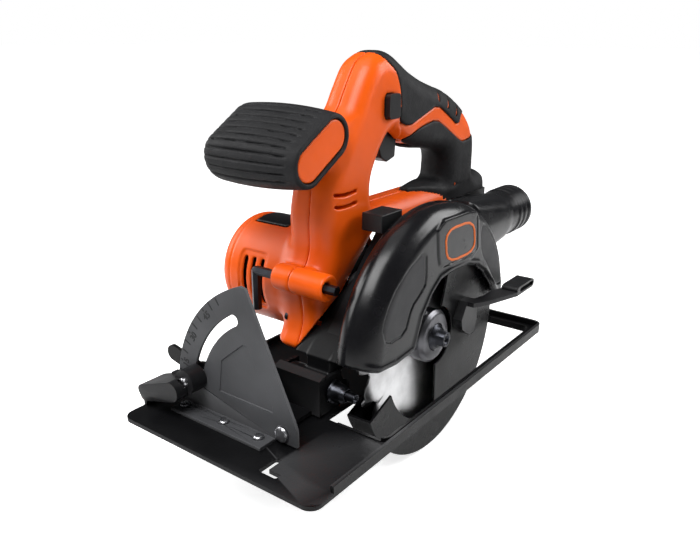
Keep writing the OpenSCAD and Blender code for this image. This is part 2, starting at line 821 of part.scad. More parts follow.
// Two carbon brushes in line with the commutator.
module carbon_brushes() {
    color("#2b2b2b") saw() for (s = [-1, 1])
        block([motor_x + s * 15 - 4, motor_x + s * 15 + 4], [-107.5, -103.5], [motor_z - 3, motor_z + 3]);
}

// Vented cap closing the rear of the barrel.
module motor_end_cap() {
    color("#232326") saw() difference() {
        ycyl(motor_x, motor_z, [-117.8, -114.4], 26);
        ycyl(motor_x, motor_z, [-116, -109], 8);
        for (a = [0:45:315]) translate([motor_x, 0, motor_z]) rotate([0, a, 0])
            block([11, 22], [-121, -109], [-1.6, 1.6]);
    }
}

// Ball bearings of the motor shaft, one in the cover and one in the end cap.
module motor_bearings() {
    color("#a9aaae") saw() for (y = [[-35, -30], [-114.4, -110.5]]) difference() {
        ycyl(motor_x, motor_z, y, 8);
        ycyl(motor_x, motor_z, [y[0] - 1, y[1] + 1], 2.5 + fit);
    }
}

// Motor shaft.
module motor_shaft() {
    color("#b8b9bd") saw() ycyl(motor_x, motor_z, [-114, -22.6], 2.5);
}

// Laminated armature with its winding heads.
module armature() {
    color("#8b4a22") saw() difference() {
        union() {
            side([-93, -54]) translate([motor_x, motor_z]) difference() {
                circle(22);
                for (a = [0:36:324]) rotate(a) translate([16, -1.2]) square([8, 2.4]);
            }
            ycyl(motor_x, motor_z, [-98, -93], 16, 19);
            ycyl(motor_x, motor_z, [-54, -49], 19, 16);
        }
        ycyl(motor_x, motor_z, [-110, -40], 2.5);
    }
}

// Copper commutator.
module commutator() {
    color("#b87333") saw() difference() {
        ycyl(motor_x, motor_z, [-108, -98.5], 10.6);
        ycyl(motor_x, motor_z, [-119, -89], 2.5);
        for (a = [0:30:330]) translate([motor_x, 0, motor_z]) rotate([0, a, 0])
            block([9.8, 12], [-109, -99.5], [-0.3, 0.3]);
    }
}

// Cooling fan on the drive end of the shaft.
module cooling_fan() {
    color("#2c2c30") saw() difference() {
        union() {
            ycyl(motor_x, motor_z, [-38.6, -37.2], 27);
            ycyl(motor_x, motor_z, [-46, -37.2], 6);
            for (a = [0:40:320]) translate([motor_x, 0, motor_z]) rotate([0, a, 0])
                block([5, 26], [-45.5, -38], [-0.7, 0.7]);
        }
        ycyl(motor_x, motor_z, [-50, -30], 2.5);
    }
}

// Motor pinion.
module motor_pinion() {
    color("#b8b9bd") saw() difference() {
        side(lay_gear_y) translate([motor_x, motor_z]) gear_outline(pinion_n, mesh_a() + 180);
        ycyl(motor_x, motor_z, [-40, -10], 2.5);
    }
}

// Direction from the layshaft to the motor, and from the arbor to the layshaft.
function mesh_a() = atan2(motor_z - lay_z, motor_x - lay_x);
function mesh_b() = atan2(lay_z - arbor_z, lay_x);

// Layshaft with its cut pinion.
module layshaft() {
    color("#b8b9bd") saw() {
        ycyl(lay_x, lay_z, [-30, -12.4], 2.5);
        side([gear_back, gear_front]) translate([lay_x, lay_z])
            gear_outline(pinion_n, mesh_b() + 180);
    }
}

// Large gear of the first stage.
module layshaft_gear() {
    color("#9c9da1") saw() difference() {
        side(lay_gear_y) translate([lay_x, lay_z]) gear_outline(lay_n, mesh_a() + 180 / lay_n);
        ycyl(lay_x, lay_z, [-40, -10], 2.5);
    }
}

// Bronze bushes of the layshaft.
module layshaft_bushes() {
    color("#b08d57") saw() for (y = [[-30.2, -28.6], [-12.2, -11]]) difference() {
        ycyl(lay_x, lay_z, y, 4);
        ycyl(lay_x, lay_z, [y[0] - 1, y[1] + 1], 2.5 + fit);
    }
}

// Blade spindle.
module spindle() {
    color("#b8b9bd") saw() difference() {
        union() {
            ycyl(0, arbor_z, [-30, 4], 5);
            ycyl(0, arbor_z, [-22.8, gear_back], 8);
        }
        ycyl(0, arbor_z, [-14, 10], 2.5);
    }
}

// Blade gear of the second stage.
module final_gear() {
    color("#9c9da1") saw() difference() {
        side([gear_back, gear_front]) translate([0, arbor_z])
            gear_outline(final_n, mesh_b() + 180 / final_n);
        ycyl(0, arbor_z, [-40, 0], 5);
    }
}

// Spindle ball bearing in the gear case nose and needle bush in the cover.
module spindle_bearing() {
    color("#a9aaae") saw() {
        difference() {
            ycyl(0, arbor_z, [-11.6, -5.4], 11);
            ycyl(0, arbor_z, [-20, 0], 5 + fit);
        }
        difference() {
            ycyl(0, arbor_z, [-30.2, -27], 5.5 + 2);
            ycyl(0, arbor_z, [-40, 0], 5 + fit);
            ycyl(0, arbor_z, [-31, -28.6], 20);
        }
        difference() {
            ycyl(0, arbor_z, [-30.2, -28.6], 5.5);
            ycyl(0, arbor_z, [-40, 0], 5 + fit);
        }
    }
}

// Inner clamping flange.
module inner_flange() {
    color("#5a5b60") saw() difference() {
        union() {
            ycyl(0, arbor_z, [-4.4, -0.6], 16);
            ycyl(0, arbor_z, [-0.6, 0.6], 9.95);
        }
        ycyl(0, arbor_z, [-10, 10], 5);
    }
}

// Outer clamping flange, a deep dished washer.
module outer_flange() {
    color("#46474b") saw() difference() {
        union() {
            ycyl(0, arbor_z, [0.6, 8], 17.5);
            ycyl(0, arbor_z, [8, 10.5], 17.5, 14.5);
        }
        ycyl(0, arbor_z, [-10, 5], 5 + 0.02);
        ycyl(0, arbor_z, [4, 20], 4);
        ycyl(0, arbor_z, [9, 20], 9);
    }
}

// One blade tooth with its gullet, as points in radius and angle.
function blade_points() = [for (i = [0:teeth - 1],
    k = [[0, 1], [0.10, 0.985], [0.16, 0.93], [0.22, 0.86], [0.38, 0.84], [0.52, 0.87],
        [0.62, 0.92], [0.80, 0.945], [0.97, 0.955]])
    blade_r * k[1] * [cos(-(i + k[0]) * 360 / teeth), sin(-(i + k[0]) * 360 / teeth)]];

// Saw blade.
module saw_blade() {
    color("#d5d6d8") saw() difference() {
        union() {
            side([-blade_t / 2, blade_t / 2]) translate([0, arbor_z]) polygon(blade_points());
            // carbide tips
            for (i = [0:teeth - 1]) translate([0, 0, arbor_z]) rotate([0, i * 360 / teeth, 0])
                block([blade_r * 0.945, blade_r - 0.2], [-0.9, 0.9], [-0.2, 1.6]);
        }
        ycyl(0, arbor_z, [-2, 2], 10);
        for (a = [30:90:300]) translate([0, 0, arbor_z]) rotate([0, a, 0])
            block([52, 57], [-2, 2], [-0.5, 0.5]);
    }
}

// Blade bolt with a washer face and a socket head.
module blade_bolt() {
    color("#3b3c40") saw() difference() {
        union() {
            ycyl(0, arbor_z, [-12, 9], 2.5);
            ycyl(0, arbor_z, [9, 10.8], 8.6);
            ycyl(0, arbor_z, [10.8, 13], 6.6);
            ycyl(0, arbor_z, [13, 18], 5);
        }
        translate([0, 14.4, arbor_z]) rotate([-90, 0, 0]) linear_extrude(5) hexagon(5);
    }
}

// ---- Controls and electrics --------------------------------------------------------------

// Switch trigger behind the pillar.
module trigger() {
    color("#202022") saw() side([-49.6, -40.4])
        polygon([[-7, 143], [0, 149], [2, 154], [-8, 156], [-20, 155], [-26, 149], [-25, 137], [-16, 134.5],
            [-9, 138]]);
}

// Lock-off button through the handle, pressed from the right.
module lock_off_button() {
    color("#202022") saw() side([-64.5, -26.5]) round_rect([-9, 164], [3, 179], 2.7);
}

// Switch body that the trigger acts on.
module switch_module() {
    color("#3a3a40") saw() block([-44, -17.5], [-54, -36], [163, 182]);
}

// Control board in the housing block.
module control_board() {
    color("#1f6b3a") saw() {
        block([-58, -8], [-58, -38], [103, 104.6]);
        block([-50, -40], [-54, -42], [104.6, 107.6]);
        block([-30, -18], [-54, -42], [104.6, 108.6]);
    }
}

// Rails that the battery pack slides on, below the housing block.
module battery_rails() {
    color("#1e1e20") saw() {
        for (s = [[-62, -58.2], [-36.8, -33]]) {
            block([-146, -64], s, [block_z[0] - 7, block_z[0]]);
            block([-146, -64], [min(s[0], s[0] + 3), max(s[1], s[1] - 3)], [block_z[0] - 9, block_z[0] - 7]);
        }
        block([-146, -64], [-62, -56], [block_z[0] - 9, block_z[0] - 7]);
        block([-146, -64], [-39, -33], [block_z[0] - 9, block_z[0] - 7]);
        block([-67, -64], [-58.2, -36.8], [block_z[0] - 7, block_z[0]]);
    }
}

// Terminal block with contact blades.
module battery_terminals() {
    color("#b08d57") saw() {
        block([-88, -67], [-55, -40], [block_z[0] - 2, block_z[0] + wall]);
        for (y = [-53, -48, -43]) block([-98, -70], [y, y + 0.8], [block_z[0] - 6.5, block_z[0] - 2]);
    }
}

// Push button that locks the spindle for blade changes.
module spindle_lock_button() {
    color("#18181a") saw() {
        block([10, 32], [-26, -11], [102, 113]);
        block([17, 19], [-18, -16], [76, 102]);
    }
}

// Hex key stored in the housing.
module hex_key() {
    r = hex_af / sqrt(3);
    color("#1a1b20") saw() {
        translate([hex_x, hex_y[0], hex_z]) rotate([-90, 0, 0])
            cylinder(h = hex_y[1] - hex_y[0], r = r, $fn = 6);
        translate([hex_x, hex_y[0], hex_z]) sphere(r = hex_af / 2, $fn = 24);
        translate([hex_x, hex_y[0], hex_z - 25]) cylinder(h = 25, r = r, $fn = 6);
    }
}

// ---- Node selection ----------------------------------------------------------------------

shoe_plate();
bevel_quadrant();
rear_pivot_lug();
shoe_rivets();
bevel_pins();
front_bracket();
rear_bracket();
depth_pivot_bolt();
depth_pivot_nut();
bevel_lock_bolt();
bevel_lever();
depth_lock_bolt();
depth_lever();
housing_left();
housing_right();
handle_grip();
front_handle_core();
front_grip();
front_grip_cap();
upper_guard();
guard_badge();
pivot_arm();
gear_case();
gear_cover();
dust_spout();
motor_can();
motor_magnets();
brush_plate();
carbon_brushes();
motor_end_cap();
switch_module();
control_board();
battery_rails();
battery_terminals();
label_plate();
housing_screws();
guard_screws();
spindle_bearing();
layshaft_bushes();
motor_bearings();
guard_bumper();
spindle();
final_gear();
inner_flange();
outer_flange();
saw_blade();
blade_bolt();
layshaft();
layshaft_gear();
motor_shaft();
armature();
commutator();
cooling_fan();
motor_pinion();
lower_guard();
lower_guard_lever();
trigger();
lock_off_button();
spindle_lock_button();
hex_key();
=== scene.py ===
"""Looks of a compact cordless circular saw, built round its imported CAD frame.

Sizes below are millimetres in saw coordinates: x and y from the blade's centre, z from the shoe's
underside, with +x the cutting direction and +y the blade side. Moulded pieces are signed distance
fields, skinned into quads where the field is zero, so that every edge has a real round.
"""

import json
import math

import bpy
import numpy as np
from mathutils import Matrix, Vector


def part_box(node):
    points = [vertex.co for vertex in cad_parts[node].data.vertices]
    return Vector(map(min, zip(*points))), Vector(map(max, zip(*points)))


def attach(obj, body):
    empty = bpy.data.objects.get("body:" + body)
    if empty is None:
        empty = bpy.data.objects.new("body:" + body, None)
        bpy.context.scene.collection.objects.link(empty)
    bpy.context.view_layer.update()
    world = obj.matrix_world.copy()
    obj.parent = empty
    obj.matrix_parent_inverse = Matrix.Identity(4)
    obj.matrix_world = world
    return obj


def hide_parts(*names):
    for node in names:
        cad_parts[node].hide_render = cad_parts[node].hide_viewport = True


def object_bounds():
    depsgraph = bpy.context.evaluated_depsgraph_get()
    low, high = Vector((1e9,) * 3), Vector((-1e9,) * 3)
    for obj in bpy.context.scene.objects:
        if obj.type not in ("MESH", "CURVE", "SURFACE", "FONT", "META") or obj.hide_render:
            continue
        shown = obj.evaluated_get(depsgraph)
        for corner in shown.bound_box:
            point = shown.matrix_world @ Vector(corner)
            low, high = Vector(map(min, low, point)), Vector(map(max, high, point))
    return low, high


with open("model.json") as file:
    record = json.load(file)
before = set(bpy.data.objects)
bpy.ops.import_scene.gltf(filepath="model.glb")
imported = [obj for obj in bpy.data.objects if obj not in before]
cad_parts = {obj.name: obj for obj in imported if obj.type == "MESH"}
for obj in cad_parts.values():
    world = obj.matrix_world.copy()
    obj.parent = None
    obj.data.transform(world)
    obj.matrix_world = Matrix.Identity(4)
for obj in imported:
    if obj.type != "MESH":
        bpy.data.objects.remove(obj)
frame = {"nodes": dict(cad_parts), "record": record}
cad_low, cad_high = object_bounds()

MM = 0.001
blade_low, blade_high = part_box("saw_blade")
shoe_low, shoe_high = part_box("shoe_plate")
ARBOR = (blade_low + blade_high) / 2
ORIGIN = Vector((ARBOR.x, ARBOR.y, shoe_low.z))  # of saw coordinates, in the frame
ARBOR_Z = (ARBOR.z - shoe_low.z) / MM
COARSE = 1.0

SEAM_Y = -45            # parting plane of the housing
BODY_HALF = 15          # half the thickness of the pillar
MOTOR = (29.4, 65)      # motor axis in x and z
BARREL_R = 35
GUARD_R = 86
GUARD_FACE = 16.4
SPOUT = (-12, 83.5)     # dust spout axis in y and z
SPOUT_R = 17.2
KEY = (70, 77)          # hex key boss in x and z
HEX = (73, 78)          # hex key in x and z


def place(x, y, z):
    """A point of saw coordinates in the frame, in metres."""
    return ORIGIN + Vector((x, y, z)) * MM


# ---- Signed distance fields --------------------------------------------------------------------


class Field:
    """A grid over a box in saw coordinates, with its coordinates as broadcasting arrays."""

    def __init__(self, low, high, step):
        self.step = step * COARSE
        self.low = np.array(low, np.float32)
        axes = [np.arange(a, b + self.step, self.step, dtype=np.float32) for a, b in zip(low, high)]
        self.x = axes[0][:, None, None]
        self.y = axes[1][None, :, None]
        self.z = axes[2][None, None, :]
        self.shape = tuple(len(a) for a in axes)


def outline(u, v, points):
    """Signed distance in a plane to a closed outline, below zero inside it."""
    nearest = np.full(np.broadcast_shapes(u.shape, v.shape), 1e9, np.float32)
    inside = np.zeros(nearest.shape, bool)
    for (ax, ay), (bx, by) in zip(points, points[1:] + points[:1]):
        ex, ey = bx - ax, by - ay
        t = np.clip(((u - ax) * ex + (v - ay) * ey) / (ex * ex + ey * ey + 1e-9), 0, 1)
        nearest = np.minimum(nearest, (u - ax - ex * t) ** 2 + (v - ay - ey * t) ** 2)
        if ay != by:
            inside ^= ((ay > v) != (by > v)) & (u < ex * (v - ay) / ey + ax)
    return np.sqrt(nearest) * np.where(inside, -1, 1).astype(np.float32)


def curve_through(points, per=5):
    """A closed smooth outline through the given points."""
    out, n = [], len(points)
    p = np.array(points, float)
    for i in range(n):
        a, b, c, d = p[i - 1], p[i], p[(i + 1) % n], p[(i + 2) % n]
        for t in np.arange(per) / per:
            q = 0.5 * (2 * b + (c - a) * t + (2 * a - 5 * b + 4 * c - d) * t**2 + (3 * b - a - 3 * c + d) * t**3)
            out.append((float(q[0]), float(q[1])))
    return out


def softened(points, times=2):
    """A closed outline with its corners cut back, times over."""
    for _ in range(times):
        cut = []
        for (ax, ay), (bx, by) in zip(points, points[1:] + points[:1]):
            cut += [(0.8 * ax + 0.2 * bx, 0.8 * ay + 0.2 * by), (0.2 * ax + 0.8 * bx, 0.2 * ay + 0.8 * by)]
        points = cut
    return points


def both(a, b, k=0.0):
    """Where both fields are solid, with the corner between them rounded over k."""
    if not k:
        return np.maximum(a, b)
    h = np.clip(0.5 - 0.5 * (b - a) / k, 0, 1)
    return b * (1 - h) + a * h + k * h * (1 - h)


def either(a, b, k=0.0):
    """Where either field is solid, with the inner corner filled over k."""
    return -both(-a, -b, k)


def less(a, b, k=0.0):
    """The first field with the second cut out of it."""
    return both(a, -b, k)


def extruded(profile, across, half, r):
    """A profile extruded to half on each side of across = 0, its edges rounded by r."""
    p = np.maximum(profile + r, 0)
    q = np.maximum(np.abs(across) - half + r, 0)
    return np.sqrt(p * p + q * q) + np.minimum(np.maximum(profile + r, np.abs(across) - half + r), 0) - r


def box3(f, low, high, r=0.0):
    """Box between two corners, its edges rounded by r."""
    parts = [np.abs(g - (a + b) / 2) - (b - a) / 2 + r for g, a, b in zip((f.x, f.y, f.z), low, high)]
    outside = sum(np.maximum(p, 0) ** 2 for p in parts)
    return np.sqrt(outside) + np.minimum(np.maximum(np.maximum(parts[0], parts[1]), parts[2]), 0) - r


def dent(value, width, depth):
    """A soft groove of that width and depth where value is zero, to add to a field."""
    return depth * np.exp(-((value / width) ** 2))


def skin(name, f, d, body, material, stands_for=(), second=None, where=None):
    """Quads where the field is zero: one vertex a cell, at the mean of its crossings.

    A second material goes on the quads whose middle is inside where, a function of x, y and z.
    """
    d = np.broadcast_to(d, f.shape).astype(np.float32)
    solid = d < 0
    n = [s - 1 for s in f.shape]
    count = sum(
        solid[i:i + n[0], j:j + n[1], k:k + n[2]].astype(np.int8)
        for i in (0, 1) for j in (0, 1) for k in (0, 1)
    )
    cells = np.argwhere((count > 0) & (count < 8))
    index = np.full(n, -1, np.int32)
    index[tuple(cells.T)] = np.arange(len(cells))
    total, crossings = np.zeros((len(cells), 3)), np.zeros(len(cells))
    for axis in range(3):
        for i in (0, 1):
            for j in (0, 1):
                start = np.insert(np.array([i, j]), axis, 0)
                end = np.insert(np.array([i, j]), axis, 1)
                a, b = d[tuple((cells + start).T)], d[tuple((cells + end).T)]
                hit = (a < 0) != (b < 0)
                point = (cells + start)[hit].astype(float)
                point[:, axis] += a[hit] / (a[hit] - b[hit])
                total[hit] += point
                crossings += hit
    points = (total / crossings[:, None]) * f.step + f.low
    quads = []
    for axis in range(3):
        near = [slice(1, s - 1) for s in f.shape]
        near[axis] = slice(0, f.shape[axis] - 1)
        far = list(near)
        far[axis] = slice(1, f.shape[axis])
        a, b = solid[tuple(near)], solid[tuple(far)]
        u, v = np.zeros(3, int), np.zeros(3, int)
        u[(axis + 1) % 3], v[(axis + 2) % 3] = 1, 1
        for turned, chosen in ((False, a & ~b), (True, b & ~a)):
            cell = np.argwhere(chosen) + [s.start for s in near]
            corners = [index[tuple(c.T)] for c in (cell - u - v, cell - v, cell, cell - u)]
            quads.append(np.stack(corners[::-1] if turned else corners, 1))
    quads = np.concatenate(quads)
    mesh = bpy.data.meshes.new(name)
    frame_points = points * MM + np.array(ORIGIN)
    mesh.from_pydata(frame_points.tolist(), [], quads.tolist())
    mesh.shade_smooth()
    piece = bpy.data.objects.new(name, mesh)
    bpy.context.scene.collection.objects.link(piece)
    mesh.materials.append(material)
    if second:
        mesh.materials.append(second)
        chosen = where(*points[quads].mean(axis=1).T) < 0
        mesh.polygons.foreach_set("material_index", chosen.astype(np.int32))
    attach(piece, body)
    if stands_for:
        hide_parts(*stands_for)
    return piece


# ---- Materials ---------------------------------------------------------------------------------


class Surface:
    """A procedural material under construction, with short calls for its nodes."""

    def __init__(self, name, colour, rough, metal=0.0, coat=0.0):
        self.material = bpy.data.materials.new(name)
        self.material.use_nodes = True
        self.tree = self.material.node_tree
        self.shader = self.tree.nodes["Principled BSDF"]
        self.colour, self.rough = colour, rough
        self.shader.inputs["Base Color"].default_value = (*colour, 1)
        self.shader.inputs["Roughness"].default_value = rough
        self.shader.inputs["Metallic"].default_value = metal
        self.shader.inputs["Coat Weight"].default_value = coat
        self.shader.inputs["Coat Roughness"].default_value = 0.2
        self.shader.inputs["Specular IOR Level"].default_value = 0.32
        self.place = self.node("ShaderNodeTexCoord").outputs["Object"]

    def node(self, kind, **values):
        made = self.tree.nodes.new(kind)
        for key, value in values.items():
            if hasattr(made, key):
                setattr(made, key, value)
            else:
                made.inputs[key.replace("_", " ")].default_value = value
        return made

    def link(self, a, b):
        self.tree.links.new(a, b)

    def noise(self, size, detail=3.0, stretch=None):
        """Noise whose features are size metres across, drawn out along an axis by stretch."""
        made = self.node("ShaderNodeTexNoise", Scale=1 / size, Detail=detail)
        source = self.place
        if stretch:
            scaled = self.node("ShaderNodeVectorMath", operation="MULTIPLY")
            scaled.inputs[1].default_value = stretch
            self.link(source, scaled.inputs[0])
            source = scaled.outputs[0]
        self.link(source, made.inputs["Vector"])
        return made.outputs["Fac"]

    def ramp(self, source, low, high, a=(0, 0, 0), b=(1, 1, 1)):
        """A colour that goes from a to b as source goes from low to high."""
        made = self.node("ShaderNodeValToRGB")
        made.color_ramp.elements[0].position, made.color_ramp.elements[1].position = low, high
        made.color_ramp.elements[0].color, made.color_ramp.elements[1].color = (*a, 1), (*b, 1)
        self.link(source, made.inputs["Fac"])
        return made.outputs["Color"]

    def mix(self, share, a, b):
        made = self.node("ShaderNodeMix", data_type="RGBA")
        for socket, value in ((made.inputs[0], share), (made.inputs[6], a), (made.inputs[7], b)):
            if hasattr(value, "links"):
                self.link(value, socket)
            else:
                socket.default_value = value
        return made.outputs[2]

    def tint(self, size, dark, light):
        """Slow variation of the colour between dark and light times itself."""
        shades = [tuple(min(1, c * k) for c in self.colour) for k in (dark, light)]
        self.base = self.ramp(self.noise(size, 4), 0.3, 0.7, *shades)
        self.link(self.base, self.shader.inputs["Base Color"])

    def edge_wear(self, light, low=0.53, high=0.62, amount=0.5):
        """Paler colour on the outer edges."""
        edge = self.ramp(self.node("ShaderNodeNewGeometry").outputs["Pointiness"], low, high,
                         b=(amount,) * 3)
        self.base = self.mix(edge, self.base, (*light, 1))
        self.link(self.base, self.shader.inputs["Base Color"])

    def patchy_gloss(self, size, spread):
        """Roughness that varies by spread each way over patches of that size."""
        made = self.node("ShaderNodeMapRange", From_Min=0.3, From_Max=0.7, To_Min=self.rough - spread,
                         To_Max=self.rough + spread)
        self.link(self.noise(size, 5), made.inputs["Value"])
        self.link(made.outputs[0], self.shader.inputs["Roughness"])

    def relief(self, source, depth, strength=1.0):
        """Bump of that depth in metres, over any earlier bump."""
        made = self.node("ShaderNodeBump", Strength=strength, Distance=depth)
        self.link(source, made.inputs["Height"])
        if hasattr(self, "normal"):
            self.link(self.normal, made.inputs["Normal"])
        self.normal = made.outputs[0]
        self.link(self.normal, self.shader.inputs["Normal"])


def moulded(name, colour, rough, grain=0.0005, depth=0.00003, vary=(0.93, 1.06), wear=None):
    """Moulded plastic with a spark-eroded grain."""
    s = Surface(name, colour, rough)
    s.tint(0.035, *vary)
    s.edge_wear(wear or tuple(min(1, c * 1.5 + 0.02) for c in colour), amount=0.35)
    s.patchy_gloss(0.012, 0.05)
    s.relief(s.noise(grain, 2), depth)
    s.relief(s.noise(0.012, 2), 0.00012)
    return s.material


def rubber(name, colour):
    """Soft overmould: fine pitted skin, dull, paler where it is rubbed."""
    s = Surface(name, colour, 0.62)
    s.tint(0.02, 0.8, 1.25)
    s.edge_wear((0.05, 0.05, 0.052), amount=0.3)
    s.patchy_gloss(0.008, 0.08)
    s.shader.inputs["Specular IOR Level"].default_value = 0.22
    dots = s.node("ShaderNodeTexVoronoi", Scale=900.0)
    s.link(s.place, dots.inputs["Vector"])
    s.relief(dots.outputs["Distance"], 0.00010)
    s.relief(s.noise(0.0004, 2), 0.00003)
    return s.material


def powder_coat(name, colour, rough=0.4, wear=(0.10, 0.10, 0.105)):
    """Baked powder coat: orange-peel relief and rubbed edges."""
    s = Surface(name, colour, rough)
    s.shader.inputs["Specular IOR Level"].default_value = 0.16
    s.tint(0.05, 0.75, 1.3)
    s.edge_wear(wear, amount=0.6)
    s.patchy_gloss(0.02, 0.07)
    s.relief(s.noise(0.0016, 2), 0.00005)
    s.relief(s.noise(0.0003, 2), 0.00002)
    return s.material


def bare_metal(name, colour, rough, stretch=(1, 1, 1), depth=0.00002):
    """Bare or plated steel with fine machining marks along one direction."""
    s = Surface(name, colour, rough, metal=1.0)
    s.tint(0.018, 0.8, 1.12)
    s.patchy_gloss(0.006, 0.08)
    s.relief(s.noise(0.0006, 4, stretch), depth)
    return s.material


def ground_disc(name, colour, rough, band=None):
    """Steel ground in rings round the blade's axis, with cloudy streaks and a duller band outside a radius."""
    s = Surface(name, colour, rough, metal=1.0)
    shifted = s.node("ShaderNodeVectorMath", operation="SUBTRACT")
    shifted.inputs[1].default_value = ARBOR
    s.link(s.place, shifted.inputs[0])
    flat = s.node("ShaderNodeVectorMath", operation="MULTIPLY")
    flat.inputs[1].default_value = (1, 0, 1)
    s.link(shifted.outputs[0], flat.inputs[0])
    radius = s.node("ShaderNodeVectorMath", operation="LENGTH")
    s.link(flat.outputs[0], radius.inputs[0])
    rings = s.node("ShaderNodeTexNoise", Scale=2600.0, Detail=4.0)
    rings.noise_dimensions = "1D"
    s.link(radius.outputs["Value"], rings.inputs["W"])
    s.tint(0.012, 0.8, 1.1)
    if band:
        beyond = s.ramp(radius.outputs["Value"], band, band + 0.001)
        s.base = s.mix(beyond, s.base, (0.22, 0.22, 0.225, 1))
        s.link(s.base, s.shader.inputs["Base Color"])
    s.patchy_gloss(0.01, 0.06)
    s.relief(rings.outputs["Fac"], 0.000004)
    return s.material


ORANGE = moulded("orange_plastic", (0.80, 0.098, 0.002), 0.36, 0.00045, 0.000018, wear=(0.90, 0.16, 0.012))
GRIP = rubber("soft_grip", (0.009, 0.009, 0.010))
BLACK = moulded("black_plastic", (0.008, 0.008, 0.009), 0.38)
GUARD = moulded("guard_plastic", (0.006, 0.006, 0.007), 0.24, 0.0006, 0.000008)
PANEL = moulded("guard_panel", (0.022, 0.022, 0.024), 0.5, 0.0007, 0.00003)
SHOE = powder_coat("shoe_steel", (0.004, 0.004, 0.0045), 0.34, (0.05, 0.05, 0.052))
GREY = powder_coat("grey_steel", (0.062, 0.063, 0.067), 0.42, (0.16, 0.16, 0.165))
ZINC = bare_metal("zinc_steel", (0.50, 0.50, 0.52), 0.3)
OXIDE = bare_metal("black_steel", (0.045, 0.047, 0.055), 0.36)
BEARING = bare_metal("bearing_steel", (0.56, 0.56, 0.58), 0.25, (1, 6, 1))
FLANGE = ground_disc("flange_steel", (0.13, 0.13, 0.14), 0.33)
BRIGHT = ground_disc("blade_steel", (0.80, 0.80, 0.81), 0.34, 0.0585)
GUARD_STEEL = powder_coat("guard_steel", (0.005, 0.005, 0.0055), 0.3, (0.05, 0.05, 0.052))
CAST = powder_coat("gear_case", (0.005, 0.005, 0.0055), 0.36, (0.05, 0.05, 0.052))
INK = moulded("scale_ink", (0.006, 0.006, 0.007), 0.55, 0.0004, 0.00001)
LINE_ORANGE = moulded("badge_orange", (0.62, 0.125, 0.015), 0.5, 0.0003, 0.00001)
FERRITE = bare_metal("ferrite", (0.06, 0.06, 0.065), 0.5)
BRASS = bare_metal("brass", (0.62, 0.42, 0.16), 0.3)
COPPER = bare_metal("copper", (0.62, 0.27, 0.12), 0.3, (1, 8, 1))
BOARD = moulded("board", (0.012, 0.12, 0.04), 0.4)
RUBBER = rubber("rubber", (0.02, 0.02, 0.02))
SLOT_MATERIALS = {
    "shoe_steel": SHOE, "grey_steel": GREY, "zinc_steel": ZINC, "black_steel": OXIDE,
    "bearing_steel": BEARING, "flange_steel": FLANGE, "blade_steel": BRIGHT, "guard_steel": GUARD_STEEL,
    "orange_plastic": ORANGE, "black_plastic": BLACK, "guard_plastic": GUARD, "inner_plastic": BLACK,
    "soft_grip": GRIP, "rubber": RUBBER, "cast_alloy": CAST, "ferrite": FERRITE, "brass": BRASS,
    "copper": COPPER, "winding": COPPER, "board": BOARD,
}

# ---- CAD nodes: finish and softened edges ---------------------------------------------------------

EDGE = {"shoe_plate": 0.7, "front_bracket": 0.45, "rear_bracket": 0.45, "bevel_quadrant": 0.4,
        "bevel_lever": 0.5, "depth_lever": 0.8, "gear_case": 0.6, "lower_guard": 0.35,
        "lower_guard_lever": 0.4, "trigger": 0.9, "lock_off_button": 0.8, "spindle_lock_button": 0.9,
        "hex_key": 0.25, "outer_flange": 0.3, "pivot_arm": 0.8, "battery_rails": 0.4}
for part in frame["record"]["subparts"]:
    node = frame["nodes"][part["node"]]
    node.data.materials.clear()
    node.data.materials.append(SLOT_MATERIALS[part["material_slot"]])
    weld = node.modifiers.new("weld", "WELD")
    weld.merge_threshold = 0.005 * MM
    if part["node"] in EDGE:
        bevel = node.modifiers.new("edge", "BEVEL")
        bevel.width = EDGE[part["node"]] * MM
        bevel.segments = 2
        bevel.limit_method = "ANGLE"
        bevel.angle_limit = math.radians(40)
        bevel.use_clamp_overlap = True
    normals = node.modifiers.new("normals", "WEIGHTED_NORMAL")
    normals.keep_sharp = False
frame["nodes"]["bevel_quadrant"].data.materials[0] = GREY
frame["nodes"]["front_bracket"].data.materials[0] = SHOE
frame["nodes"]["motor_can"].data.materials[0] = OXIDE

# ---- Housing and main handle -------------------------------------------------------------------

PILLAR = curve_through([
    (-3, 202), (12, 198), (23, 184), (31, 171), (44, 152), (54, 134), (58, 112), (58, 96), (60, 86), (66, 72),
    (64, 56), (67, 44), (71, 35), (65, 31), (58, 39), (50, 60), (30, 78), (5, 96), (8, 107), (11, 119),
    (10, 130), (4, 141), (-4, 151), (-14, 159), (-20, 175), (-16, 194),
])
HANDLE = curve_through([
    (-2, 202), (-18, 198.5), (-31, 192), (-47, 185.5), (-62, 181), (-80, 176), (-98, 167.5), (-112, 157.5),
    (-120, 147), (-123, 134), (-123, 118), (-122, 100), (-82, 100), (-82, 120), (-81, 130), (-72, 136),
    (-57, 138.5), (-42, 140.5), (-28, 144), (-16, 151), (-6, 160), (4, 170), (6, 190),
])
